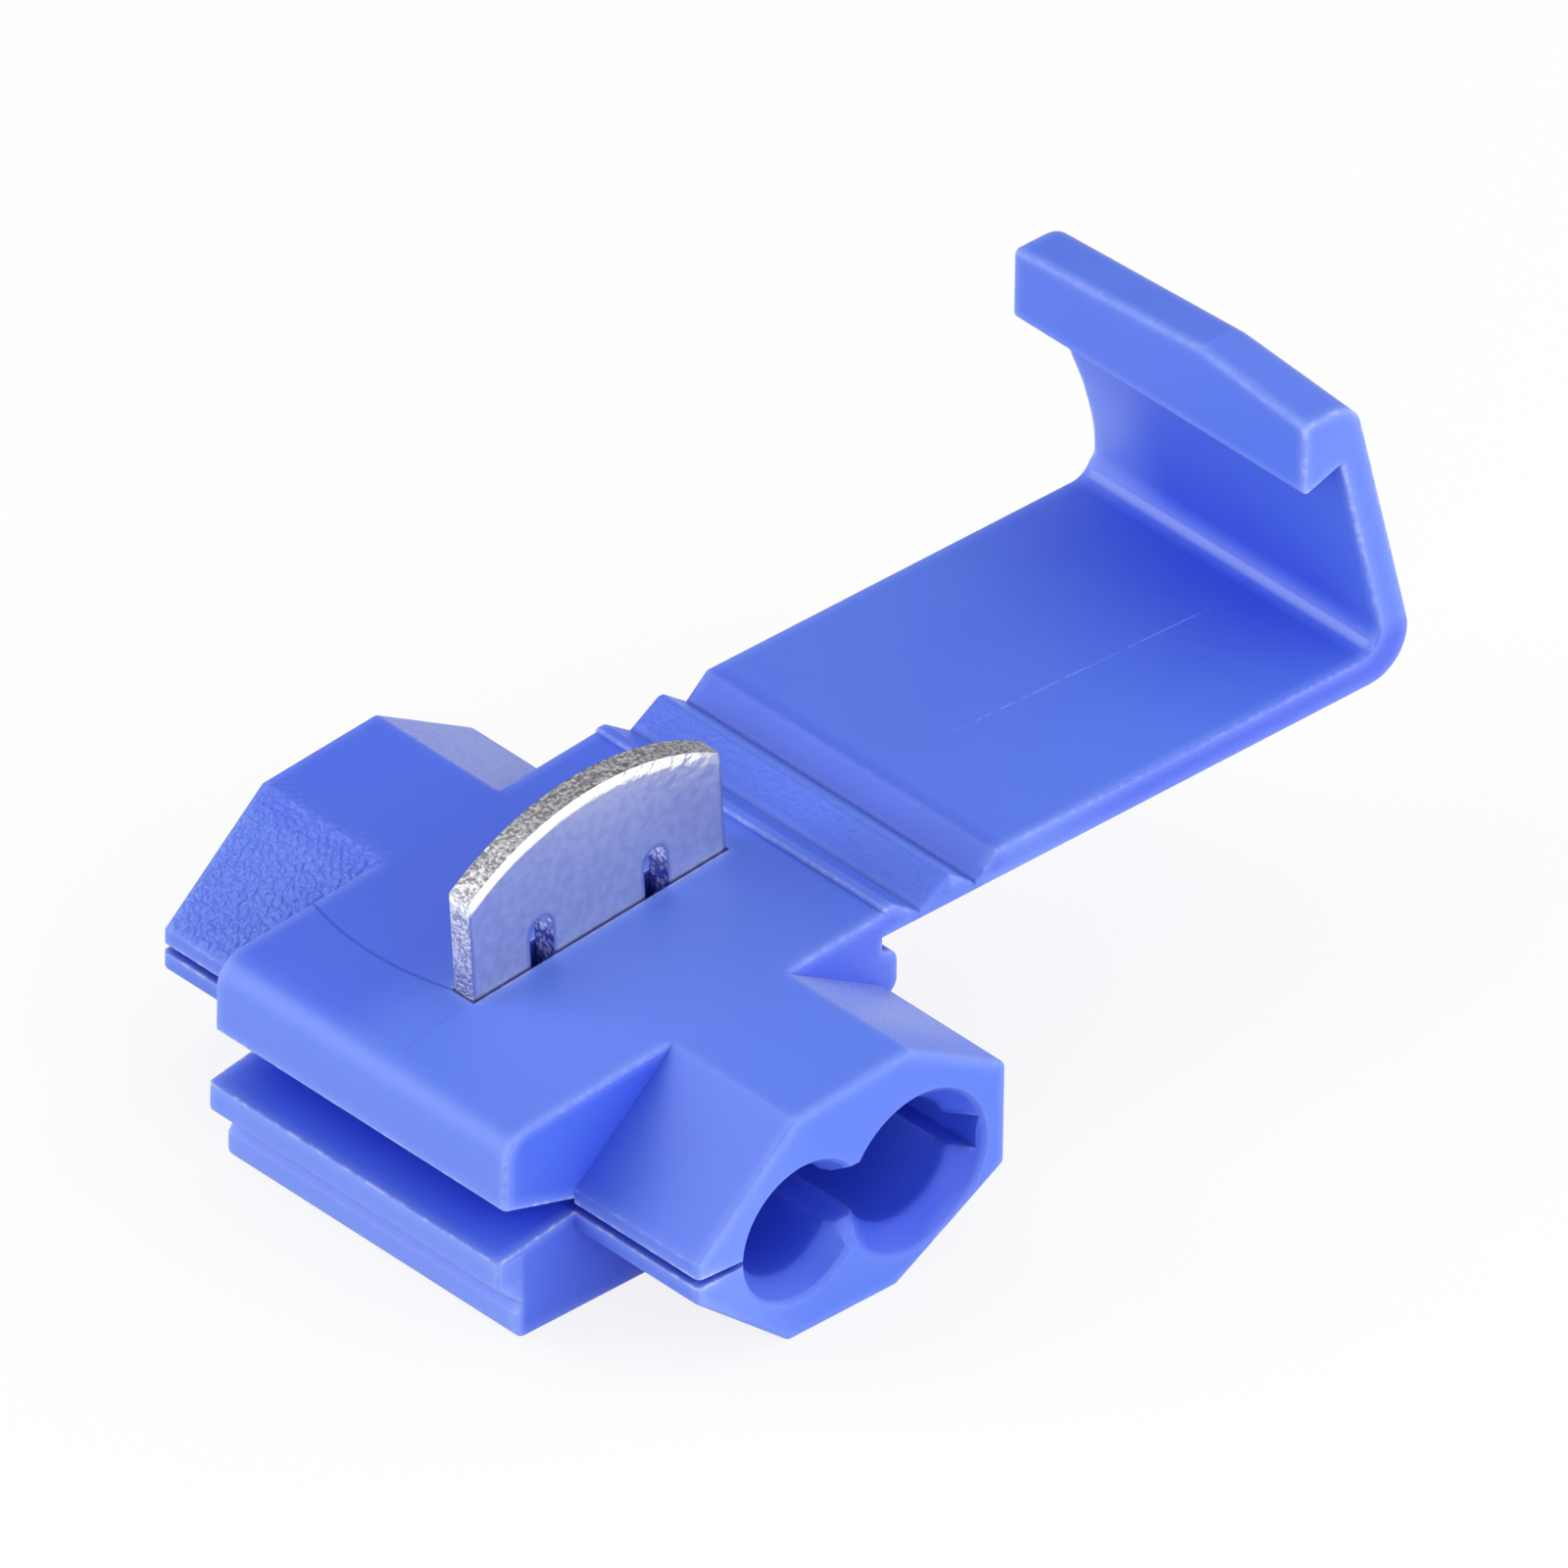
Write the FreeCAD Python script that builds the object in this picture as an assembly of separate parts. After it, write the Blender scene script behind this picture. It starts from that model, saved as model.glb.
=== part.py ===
import FreeCAD, Part
import math
import os

# A snap-shut quick splice for two insulated wires. All sizes are in millimetres.
# Frame: the origin is on the underside, below the middle of the wire tunnel.
# +X runs along the wires, out of the mouth where the tap wire goes in.
# +Y runs from the tunnel to the open cover, and +Z is up.

# Wire tunnel: the long eight-sided prism
tunnel_length = 25.0
tunnel_half_width = 6.6
tunnel_top_flat = 4.85
tunnel_bottom_flat = 4.6
tunnel_bottom_shift = -0.3
tunnel_side_low = 2.6
tunnel_side_high = 6.4
tunnel_edge_round = 0.22
tunnel_end_round = 0.2

# Deck: the top of the housing, which rises a little towards the hinge
deck_height = 8.62
deck_tilt_deg = 4.6

# Block: the short wide body across the middle, with the two jaws
block_length = 13.5
block_end_round = 0.12
jaw_reach = 9.6
jaw_top_round = 1.1
jaw_lip_height = 5.25
jaw_lip_round = 0.15
ledge_reach = 9.85
ledge_top_height = 3.3
ledge_bottom_height = 2.3
catch_notch_reach = 8.85
catch_notch_height = 1.35
foot_reach = 9.05
foot_shoulder_height = 1.0
foot_round = 0.45
hinge_side_reach = 6.6
flank_reach = 6.95
bead_reach = 7.25
bead_low_height = 6.2
bead_high_height = 7.4
bead_round = 0.5
bead_shoulder = 0.3
ledge_round = 0.3
flank_low_height = 1.6
underside_reach = 5.6

# Wire channels and what opens off them
wire_height = 3.95
run_channel_y = -2.1
wire_pitch = 4.9
run_bore_radius = 2.0
tap_bore_radius = 2.2
run_mouth_radius = 2.45
tap_mouth_radius = 2.85
mouth_depth = 1.0
mouth_rim_chamfer = 0.15
mouth_neck_height = 3.24
mouth_neck_depth = 0.7
tap_end_wall = 4.0
window_height = 2.1
window_rise = 0.15
keyway_height = 1.3
keyway_rise = 0.22
keyway_reach = 2.75
slit_gap_inner = 0.16
slit_gap_outer = 0.4
slit_floor_drop = 0.1
throat_reach = 5.5
slit_strip_below = 0.6
slit_strip_above = 0.85

# Living hinge: two thin webs with a ridge between them
web_thickness = 0.35
strap_drop = 0.42
hinge_1_y = 8.1
hinge_pitch = 2.42
ridge_height = 0.75
ridge_flat = 0.2
ridge_round = 0.08
ridge_offset = 0.1
rim_height = 0.15
rim_flat = 0.4

# Cover: the plate and the hooked wall at its end
plate_thickness = 1.15
cover_reach = 29.75
ramp_run = 0.9
wall_thickness = 1.15
wall_lean_deg = 14.6
corner_round = 1.6
corner_inner_round = 0.8
hook_depth = 7.45
lip_overhang = 1.65
lip_thickness = 2.72
lip_catch_rise = 0.55
lip_crown = 0.57
lip_crown_x = 1.8
lip_top_round = 1.25
hollow_depth = 0.55
hollow_length = 5.4
hollow_height = 12.4
edge_round = 0.22

# Contact blade, measured in the deck's own frame
blade_thickness = 0.9
blade_width = 10.8
blade_x = 0.25
blade_corner_rise = 3.85
blade_crown_rise = 5.47
blade_slot_width = 1.0
blade_slot_top = 1.7
blade_tip_depth = 1.6
blade_tip_chamfer = 0.55
blade_lead_in = 0.45
blade_clearance = 0.05
blade_travel = 5.4
pocket_floor_gap = 0.2

# How far a cut runs on past the face that it opens, and how flat an edge in a plane lies
cut_margin = 1.0
plane_tolerance = 0.0001

# Worked-out places
tap_channel_y = run_channel_y + wire_pitch
hinge_2_y = hinge_1_y + hinge_pitch
strap_underside = deck_height - strap_drop
root_height = strap_underside + web_thickness
plate_top = strap_underside + plate_thickness
half_block = block_length / 2
half_tunnel = tunnel_length / 2
wall_lean = math.tan(math.radians(wall_lean_deg))
wall_across = wall_thickness / math.cos(math.radians(wall_lean_deg))
slit_floor = wire_height - slit_floor_drop
lip_low = plate_top + hook_depth
lip_catch_height = lip_low + lip_catch_rise


def deck_at(y):
    """Height of the deck at a place across the housing."""
    return deck_height + y * math.tan(math.radians(deck_tilt_deg))


def outline(corners, x=0.0):
    """A closed wire across the X axis, from corners (y, z, radius)."""
    points = [FreeCAD.Vector(x, y, z) for y, z, radius in corners]
    count = len(points)
    edges = []
    ends = []
    for i in range(count):
        here = points[i]
        back = (points[i - 1] - here).normalize()
        ahead = (points[(i + 1) % count] - here).normalize()
        radius = corners[i][2]
        if radius <= 0.0:
            ends.append((here, here))
            continue
        half_turn = back.getAngle(ahead) / 2
        run = radius / math.tan(half_turn)
        middle = (back + ahead).normalize()
        start = here + back * run
        end = here + ahead * run
        centre = here + middle * (radius / math.sin(half_turn))
        edges.append((i, Part.Arc(start, centre - middle * radius, end).toShape()))
        ends.append((start, end))
    arcs = dict(edges)
    path = []
    for i in range(count):
        if i in arcs:
            path.append(arcs[i])
        start = ends[i][1]
        end = ends[(i + 1) % count][0]
        if start.distanceToPoint(end) > 1e-7:
            path.append(Part.LineSegment(start, end).toShape())
    return Part.Wire(path)


def prism(corners, x_low, x_high):
    """The outline carried along X from one end to the other."""
    return Part.Face(outline(corners, x_low)).extrude(FreeCAD.Vector(x_high - x_low, 0, 0))


def in_plane(low, high, place):
    """Whether a span lies flat in the plane at a place."""
    return abs(low - place) < plane_tolerance and abs(high - place) < plane_tolerance


def round_ends(shape, half_length, radius):
    """Round the outline of both end faces, apart from where the moulding runs on at a hinge web."""
    chosen = []
    for edge in shape.Edges:
        box = edge.BoundBox
        at_end = in_plane(box.XMin, box.XMax, half_length) or in_plane(box.XMin, box.XMax, -half_length)
        at_web = in_plane(box.YMin, box.YMax, hinge_1_y) or in_plane(box.YMin, box.YMax, hinge_2_y)
        if at_end and not at_web:
            chosen.append(edge)
    return shape.makeFillet(radius, chosen)


def on_deck(shape):
    """Set a shape drawn at the origin square onto the deck."""
    turned = shape.copy()
    turned.rotate(FreeCAD.Vector(0, 0, 0), FreeCAD.Vector(1, 0, 0), deck_tilt_deg)
    turned.translate(FreeCAD.Vector(0, 0, deck_height))
    return turned


def tunnel_body():
    """The eight-sided prism round both wires."""
    top = tunnel_top_flat / 2
    bottom = tunnel_bottom_flat / 2
    r = tunnel_edge_round
    corners = [
        (-top, deck_at(-top), r),
        (top, deck_at(top), r),
        (tunnel_half_width, tunnel_side_high, r),
        (tunnel_half_width, tunnel_side_low, r),
        (tunnel_bottom_shift + bottom, 0.0, r),
        (tunnel_bottom_shift - bottom, 0.0, r),
        (-tunnel_half_width, slit_floor - slit_strip_below, r),
        (-tunnel_half_width, slit_floor + slit_strip_above, 0.0),
    ]
    body = prism(corners, -half_tunnel, half_tunnel)
    return round_ends(body, half_tunnel, tunnel_end_round)


def block_body():
    """The wide middle: deck, upper jaw, ledge, foot, flank and the hinge's root."""
    rim_inner = hinge_side_reach
    rim_top = deck_at(rim_inner) + rim_height
    corners = [
        (-jaw_reach, deck_at(-jaw_reach), jaw_top_round),
        (rim_inner, deck_at(rim_inner), 0.0),
        (rim_inner, rim_top, ridge_round),
        (rim_inner + rim_flat, rim_top, ridge_round),
        (hinge_1_y, root_height, 0.0),
        (hinge_1_y, strap_underside, 0.0),
        (hinge_side_reach, strap_underside, 0.0),
        (hinge_side_reach, bead_high_height + bead_shoulder, 0.0),
        (bead_reach, bead_high_height, bead_round),
        (bead_reach, bead_low_height, bead_round),
        (flank_reach, bead_low_height - bead_shoulder, 0.0),
        (flank_reach, flank_low_height, edge_round),
        (underside_reach, 0.0, edge_round),
        (-foot_reach, 0.0, foot_round),
        (-foot_reach, foot_shoulder_height, 0.0),
        (-catch_notch_reach, catch_notch_height, 0.0),
        (-ledge_reach, ledge_bottom_height, ledge_round),
        (-ledge_reach, ledge_top_height, ledge_round),
        (-jaw_reach, jaw_lip_height, jaw_lip_round),
    ]
    body = prism(corners, -half_block, half_block)
    return round_ends(body, half_block, block_end_round)


def wire_bore(y, radius, mouth_radius, x_low, x_high, both_ends):
    """A round channel along X, with a funnel and a broken edge at its open end or ends."""
    rim_radius = mouth_radius + mouth_rim_chamfer
    beyond = x_high + cut_margin
    points = [
        (x_low, 0.0),
        (x_low, radius),
        (x_high - mouth_depth, radius),
        (x_high - mouth_rim_chamfer, mouth_radius),
        (x_high, rim_radius),
        (beyond, rim_radius),
        (beyond, 0.0),
        (x_low, 0.0),
    ]
    vectors = [FreeCAD.Vector(x, r, 0) for x, r in points]
    edges = [Part.LineSegment(a, b).toShape() for a, b in zip(vectors, vectors[1:])]
    profile = Part.Face(Part.Wire(edges))
    bore = profile.revolve(FreeCAD.Vector(0, 0, 0), FreeCAD.Vector(1, 0, 0), 360)
    if both_ends:
        bore = bore.fuse(bore.mirror(FreeCAD.Vector(0, 0, 0), FreeCAD.Vector(1, 0, 0)))
    bore.translate(FreeCAD.Vector(0, y, wire_height))
    return bore


def mouth_neck(window_low, window_high):
    """The gap between the two funnels, which opens out from the window to the shared mouth."""
    inner = half_tunnel - mouth_neck_depth
    outside = half_tunnel + cut_margin
    profile = [
        (inner, window_low),
        (half_tunnel, wire_height - mouth_neck_height / 2),
        (outside, wire_height - mouth_neck_height / 2),
        (outside, wire_height + mouth_neck_height / 2),
        (half_tunnel, wire_height + mouth_neck_height / 2),
        (inner, window_high),
        (inner, window_low),
    ]
    side = Part.makePolygon([FreeCAD.Vector(x, run_channel_y, z) for x, z in profile])
    return Part.Face(side).extrude(FreeCAD.Vector(0, wire_pitch, 0))


def slot_box(x_low, x_high, y_low, y_high, z_low, z_high):
    """A plain box between two corners."""
    corner = FreeCAD.Vector(x_low, y_low, z_low)
    return Part.makeBox(x_high - x_low, y_high - y_low, z_high - z_low, corner)


def channels():
    """Everything that the two wires go through."""
    stop = -half_tunnel + tap_end_wall
    run = wire_bore(run_channel_y, run_bore_radius, run_mouth_radius, -half_tunnel, half_tunnel, True)
    tap = wire_bore(tap_channel_y, tap_bore_radius, tap_mouth_radius, stop, half_tunnel, False)
    window_low = wire_height + window_rise - window_height / 2
    window_high = window_low + window_height
    window = slot_box(stop, half_tunnel, run_channel_y, tap_channel_y, window_low, window_high)
    keyway_low = wire_height + keyway_rise - keyway_height / 2
    keyway_end = tap_channel_y + keyway_reach
    keyway = slot_box(stop, half_tunnel, tap_channel_y, keyway_end, keyway_low, keyway_low + keyway_height)
    neck = mouth_neck(window_low, window_high)
    return run.fuse([tap, window, keyway, neck])


def side_entry():
    """The slit from the run channel to the side, and the funnel between the jaws."""
    inner = run_channel_y - run_bore_radius + slit_gap_inner
    outside = -tunnel_half_width - cut_margin
    slit = prism([
        (inner, wire_height - slit_gap_inner / 2, 0.0),
        (inner, wire_height + slit_gap_inner / 2, 0.0),
        (outside, slit_floor + slit_gap_outer, 0.0),
        (outside, slit_floor, 0.0),
    ], -half_tunnel, half_tunnel)
    apex = (-throat_reach, slit_floor + slit_gap_outer / 2)
    lower_slope = (apex[1] - ledge_top_height) / (ledge_reach - throat_reach)
    upper_slope = (jaw_lip_height - apex[1]) / (jaw_reach - throat_reach)
    beyond = ledge_reach - throat_reach + cut_margin
    funnel = prism([
        (apex[0], apex[1], 0.0),
        (apex[0] - beyond, apex[1] + upper_slope * beyond, 0.0),
        (apex[0] - beyond, apex[1] - lower_slope * beyond, 0.0),
    ], -half_block, half_block)
    return slit.fuse(funnel)


def blade_pocket():
    """The slot that guides the contact blade, square to the deck."""
    depth = blade_tip_depth + blade_travel + pocket_floor_gap
    half_width = blade_width / 2 + blade_clearance
    half_thick = blade_thickness / 2 + blade_clearance
    box = slot_box(blade_x - half_thick, blade_x + half_thick, -half_width, half_width, -depth, cut_margin)
    return on_deck(box)


def housing():
    """The housing with its channels, side entry and blade pocket."""
    body = tunnel_body().fuse(block_body()).removeSplitter()
    return body.cut([channels(), side_entry(), blade_pocket()])


def hinge_strap():
    """The ridge between the two thin webs."""
    ridge_middle = (hinge_1_y + hinge_2_y) / 2 + ridge_offset
    ridge_top = root_height + ridge_height
    corners = [
        (hinge_1_y, strap_underside, 0.0),
        (hinge_2_y, strap_underside, 0.0),
        (hinge_2_y, root_height, 0.0),
        (ridge_middle + ridge_flat / 2, ridge_top, ridge_round),
        (ridge_middle - ridge_flat / 2, ridge_top, ridge_round),
        (hinge_1_y, root_height, 0.0),
    ]
    return round_ends(prism(corners, -half_block, half_block), half_block, block_end_round)


def wall_outer_at(z):
    """How far out the wall's outer face is at a height."""
    return cover_reach - (z - strap_underside) * wall_lean


def wall_inner_at(z):
    """How far out the wall's inner face is at a height."""
    return wall_outer_at(z) - wall_across


def lip_tip():
    """How far out the lip's tip stands."""
    return wall_inner_at(lip_catch_height) - lip_overhang


def hook_head(x_low, x_high, rise_low, rise_high):
    """One half of the hook's lip, whose top slopes along X."""
    sections = []
    for x, rise in ((x_low, rise_low), (x_high, rise_high)):
        lip_top = lip_low + lip_thickness + rise
        corners = [
            (lip_tip(), lip_low, edge_round),
            (wall_inner_at(lip_catch_height), lip_catch_height, 0.0),
            (wall_outer_at(lip_catch_height), lip_catch_height, 0.0),
            (wall_outer_at(lip_top), lip_top, lip_top_round),
            (lip_tip(), lip_top, edge_round),
        ]
        sections.append(outline(corners, x))
    return Part.makeLoft(sections, True, True)


def wall_hollow():
    """The shallow hollow down the wall's far end."""
    radius = (hollow_length ** 2 / 4 + hollow_depth ** 2) / (2 * hollow_depth)
    centre_x = -half_block + hollow_depth - radius
    start = FreeCAD.Vector(centre_x, lip_tip(), hollow_height)
    return Part.makeCylinder(radius, cover_reach - lip_tip(), start, FreeCAD.Vector(0, 1, 0))


def cover():
    """The cover's plate, its leaning wall and the lip that hooks over the ledge."""
    corners = [
        (hinge_2_y, strap_underside, 0.0),
        (wall_outer_at(strap_underside), strap_underside, corner_round),
        (wall_outer_at(lip_catch_height), lip_catch_height, 0.0),
        (wall_inner_at(lip_catch_height), lip_catch_height, 0.0),
        (wall_inner_at(plate_top), plate_top, corner_inner_round),
        (hinge_2_y + ramp_run, plate_top, edge_round),
        (hinge_2_y, root_height, 0.0),
    ]
    plate_and_wall = prism(corners, -half_block, half_block)
    head_left = hook_head(-half_block, lip_crown_x, 0.0, lip_crown)
    head_right = hook_head(lip_crown_x, half_block, lip_crown, 0.0)
    body = plate_and_wall.fuse([head_left, head_right]).removeSplitter()
    return round_ends(body, half_block, block_end_round).cut(wall_hollow())


def blade_slot(y):
    """One round-topped slot with a flared lead-in, open at the blade's tips."""
    radius = blade_slot_width / 2
    low = -blade_tip_depth
    crown = blade_slot_top - radius
    slot = slot_box(0.0, blade_thickness, y - radius, y + radius, low, crown)
    top = FreeCAD.Vector(0, y, crown)
    round_top = Part.makeCylinder(radius, blade_thickness, top, FreeCAD.Vector(1, 0, 0))
    flare = prism([
        (y, low + radius + blade_lead_in, 0.0),
        (y - radius - blade_lead_in, low, 0.0),
        (y + radius + blade_lead_in, low, 0.0),
    ], 0.0, blade_thickness)
    return slot.fuse([round_top, flare])


def contact_blade():
    """The domed blade whose two slots bite through the wires' covering."""
    half = blade_width / 2
    low = -blade_tip_depth
    dome_left = FreeCAD.Vector(0, -half, blade_corner_rise)
    dome_top = FreeCAD.Vector(0, 0, blade_crown_rise)
    dome_right = FreeCAD.Vector(0, half, blade_corner_rise)
    points = [
        (half, low + blade_tip_chamfer),
        (half - blade_tip_chamfer, low),
        (-half + blade_tip_chamfer, low),
        (-half, low + blade_tip_chamfer),
    ]
    vectors = [dome_right] + [FreeCAD.Vector(0, y, z) for y, z in points] + [dome_left]
    edges = [Part.LineSegment(a, b).toShape() for a, b in zip(vectors, vectors[1:])]
    edges.append(Part.Arc(dome_left, dome_top, dome_right).toShape())
    plate = Part.Face(Part.Wire(edges)).extrude(FreeCAD.Vector(blade_thickness, 0, 0))
    slots = [blade_slot(-wire_pitch / 2), blade_slot(wire_pitch / 2)]
    plate = plate.cut(slots)
    plate.translate(FreeCAD.Vector(blade_x - blade_thickness / 2, 0, 0))
    return on_deck(plate)


if __name__ == "__main__":
    os.makedirs("parts", exist_ok=True)
    for name, make in (
        ("housing", housing),
        ("hinge_strap", hinge_strap),
        ("cover", cover),
        ("contact_blade", contact_blade),
    ):
        solid = make()
        print(name, len(solid.Solids), "solid", round(solid.Volume, 2), "mm3", solid.isValid())
        solid.exportStep("parts/" + name + ".step")
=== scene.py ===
# %% [markdown]
# # A snap-shut wire splice, dressed for its portrait
# The splice is one blue plastic moulding and one small metal blade. The moulding is a body with two wire
# channels, a cover that swings over on a thin bending hinge, and a hook at the cover's end.
# Every size here is in metres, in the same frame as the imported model: X along the wires, Y towards the open
# cover, Z up, with the underside on the floor at zero.

# %% Load the frame
import bmesh
import bpy
import math
from mathutils import Matrix, Vector


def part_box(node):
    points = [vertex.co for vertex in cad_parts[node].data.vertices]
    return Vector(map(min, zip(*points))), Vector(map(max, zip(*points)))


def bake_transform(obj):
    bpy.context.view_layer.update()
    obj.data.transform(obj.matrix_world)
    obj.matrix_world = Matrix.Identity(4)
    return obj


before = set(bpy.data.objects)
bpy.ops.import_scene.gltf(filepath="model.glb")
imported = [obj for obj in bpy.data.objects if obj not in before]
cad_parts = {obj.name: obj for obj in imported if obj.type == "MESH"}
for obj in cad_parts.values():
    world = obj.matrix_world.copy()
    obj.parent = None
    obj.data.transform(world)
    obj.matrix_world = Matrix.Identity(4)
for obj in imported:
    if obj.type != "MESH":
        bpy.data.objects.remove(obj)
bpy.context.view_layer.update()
MM = 0.001
scene = bpy.context.scene
scene.view_settings.view_transform = "Standard"

# %% [markdown]
# ## Camera
# The portrait was taken from far off with a long lens, so edges that are parallel on the object stay almost
# parallel in the picture. A long lens at two metres does the same. The camera is placed by the direction it
# looks along, its roll, and the point of the object in the middle of the frame.

# %% Place the camera
look_azimuth = math.radians(136.72)
look_down = math.radians(34.80)
roll = math.radians(0.9)
look_at = Vector((0.0, 8.53, 9.74)) * MM
camera_distance = 2.069
frame_pixels = 1600
focal_pixels = 66804.0

forward = Vector((math.cos(look_down) * math.cos(look_azimuth), math.cos(look_down) * math.sin(look_azimuth),
                  -math.sin(look_down)))
level_right = Vector((math.sin(look_azimuth), -math.cos(look_azimuth), 0.0))
level_up = level_right.cross(forward)
right = level_right * math.cos(roll) + level_up * math.sin(roll)
up = level_up * math.cos(roll) - level_right * math.sin(roll)

camera_data = bpy.data.cameras.new("portrait_camera")
camera = bpy.data.objects.new("portrait_camera", camera_data)
scene.collection.objects.link(camera)
camera_data.sensor_width = 36.0
camera_data.lens = focal_pixels / frame_pixels * camera_data.sensor_width
camera_data.clip_end = 10.0
camera.matrix_world = Matrix((
    (right.x, up.x, -forward.x, 0.0),
    (right.y, up.y, -forward.y, 0.0),
    (right.z, up.z, -forward.z, 0.0),
    (0.0, 0.0, 0.0, 1.0),
))
camera.location = look_at - forward * camera_distance
scene.camera = camera
print("lens", round(camera_data.lens, 1), "mm")

# %% [markdown]
# ## Nodes
# Every finish below is made of nodes. They could be joined by hand in the shader editor, but a dozen masks
# that share the same few steps are easier to read as sums. The first two helpers make a node and join its
# sockets, so that each later line says what is meant and not how it is wired.

# %% Helpers for nodes
def put(socket, value):
    """Join a socket to another socket, or set it to a plain value."""
    if isinstance(value, bpy.types.NodeSocket):
        socket.id_data.links.new(value, socket)
    else:
        socket.default_value = value


def node(tree, kind, settings=(), **inputs):
    """A node with its own settings and its named inputs; spaces in names are written as underscores."""
    made = tree.nodes.new("ShaderNode" + kind)
    for key, value in settings:
        setattr(made, key, value)
    for key, value in inputs.items():
        put(made.inputs[key.replace("_", " ")], value)
    return made


print("node helpers ready")

# %% [markdown]
# ## Sums and masks
# A mask is a number between nought and one that says how much of a mark a point gets. It is made from the
# point's place by sums. A hard limit would leave a jagged edge, so a mask ends in a soft step. Masks that
# must all hold are multiplied, and of masks that may each hold the largest is taken.

# %% Helpers for sums
def maths(tree, operation, *values):
    """The result of one sum."""
    made = node(tree, "Math", [("operation", operation)])
    for socket, value in zip(made.inputs, values):
        put(socket, value)
    return made.outputs[0]


def product(tree, *values):
    """All the values multiplied together."""
    result = values[0]
    for value in values[1:]:
        result = maths(tree, "MULTIPLY", result, value)
    return result


def total(tree, *values):
    """All the values added up."""
    result = values[0]
    for value in values[1:]:
        result = maths(tree, "ADD", result, value)
    return result


def largest(tree, *values):
    """The largest of the values."""
    result = values[0]
    for value in values[1:]:
        result = maths(tree, "MAXIMUM", result, value)
    return result


def soft_step(tree, value, start, end, low=0.0, high=1.0):
    """Low before the start, high after the end, and an even curve between."""
    made = node(tree, "MapRange", [("interpolation_type", "SMOOTHSTEP")], Value=value, From_Min=start,
                From_Max=end, To_Min=low, To_Max=high)
    return made.outputs[0]


def band(tree, value, middle, half_width, soft):
    """One near a middle value, and nought away from it."""
    away = maths(tree, "ABSOLUTE", maths(tree, "SUBTRACT", value, middle))
    return soft_step(tree, away, half_width + soft, half_width)


print("sum helpers ready")

# %% [markdown]
# ## Patterns and places
# Patterns are counted in lumps to the millimetre, because that can be measured on the real splice. They
# read the point's place on its own part, so they stay where they are when the part moves, and they need no
# unwrapped map, which on a moulding with this many faces would show its seams.

# %% Helpers for patterns
def noise(tree, place, scale, detail=2.0, stretch=(1.0, 1.0, 1.0)):
    """Cloudy noise between nought and one, at a number of lumps to the millimetre."""
    moved = node(tree, "VectorMath", [("operation", "MULTIPLY")])
    put(moved.inputs[0], place)
    put(moved.inputs[1], stretch)
    made = node(tree, "TexNoise", Vector=moved.outputs[0], Scale=scale, Detail=detail)
    return made.outputs[0]


def pebbles(tree, place, scale):
    """Round cells, at a number of cells to the millimetre: nought in the middle of each."""
    return node(tree, "TexVoronoi", Vector=place, Scale=scale).outputs["Distance"]


def blend_colour(tree, share, first, second):
    """A mix of two colours."""
    made = node(tree, "Mix", [("data_type", "RGBA")], Factor=share)
    sockets = [socket for socket in made.inputs if socket.type == "RGBA"]
    put(sockets[0], first)
    put(sockets[1], second)
    return [socket for socket in made.outputs if socket.type == "RGBA"][0]


def split(tree, vector):
    """The three numbers of a vector."""
    made = node(tree, "SeparateXYZ")
    put(made.inputs[0], vector)
    return made.outputs[0], made.outputs[1], made.outputs[2]


def place_in_mm(tree):
    """The point's place on its own part, in millimetres."""
    scaled = node(tree, "VectorMath", [("operation", "SCALE")], Scale=1.0 / MM)
    put(scaled.inputs[0], node(tree, "TexCoord").outputs["Object"])
    return scaled.outputs[0]


print("pattern helpers ready")

# %% [markdown]
# ## Groups and materials
# Several nodes that belong together go into a group with named sockets. A group can be opened, read and used
# again with other values, as the plastic and the tin both do with the one for edges. The shader itself stays
# in the material, where the export can find it.

# %% Helpers for groups
def new_group(name, inputs, outputs):
    """An empty shader group with plain number or vector sockets."""
    tree = bpy.data.node_groups.new(name, "ShaderNodeTree")
    kinds = {"number": "NodeSocketFloat", "vector": "NodeSocketVector"}
    for side, sockets in (("INPUT", inputs), ("OUTPUT", outputs)):
        for title, kind in sockets:
            tree.interface.new_socket(title, in_out=side, socket_type=kinds[kind])
    return tree, tree.nodes.new("NodeGroupInput").outputs, tree.nodes.new("NodeGroupOutput").inputs


def use_group(tree, group, **inputs):
    """One use of a group."""
    made = tree.nodes.new("ShaderNodeGroup")
    made.node_tree = group
    for key, value in inputs.items():
        put(made.inputs[key.replace("_", " ")], value)
    return made.outputs


def new_material(name):
    """A node material, with its principled shader at hand."""
    material = bpy.data.materials.new(name)
    material.use_nodes = True
    tree = material.node_tree
    return material, tree, tree.nodes["Principled BSDF"]


print("group helpers ready")

# %% [markdown]
# ## Paper floor
# The floor is white paper. Seen straight by the camera, or through a reflection, it adds a plain glow so
# that it comes out white, and it still takes the soft shadow that sets the splice down.

# %% Make the paper floor
PAPER_WHITE = 0.8
PAPER_GLOW = 0.85


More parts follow.
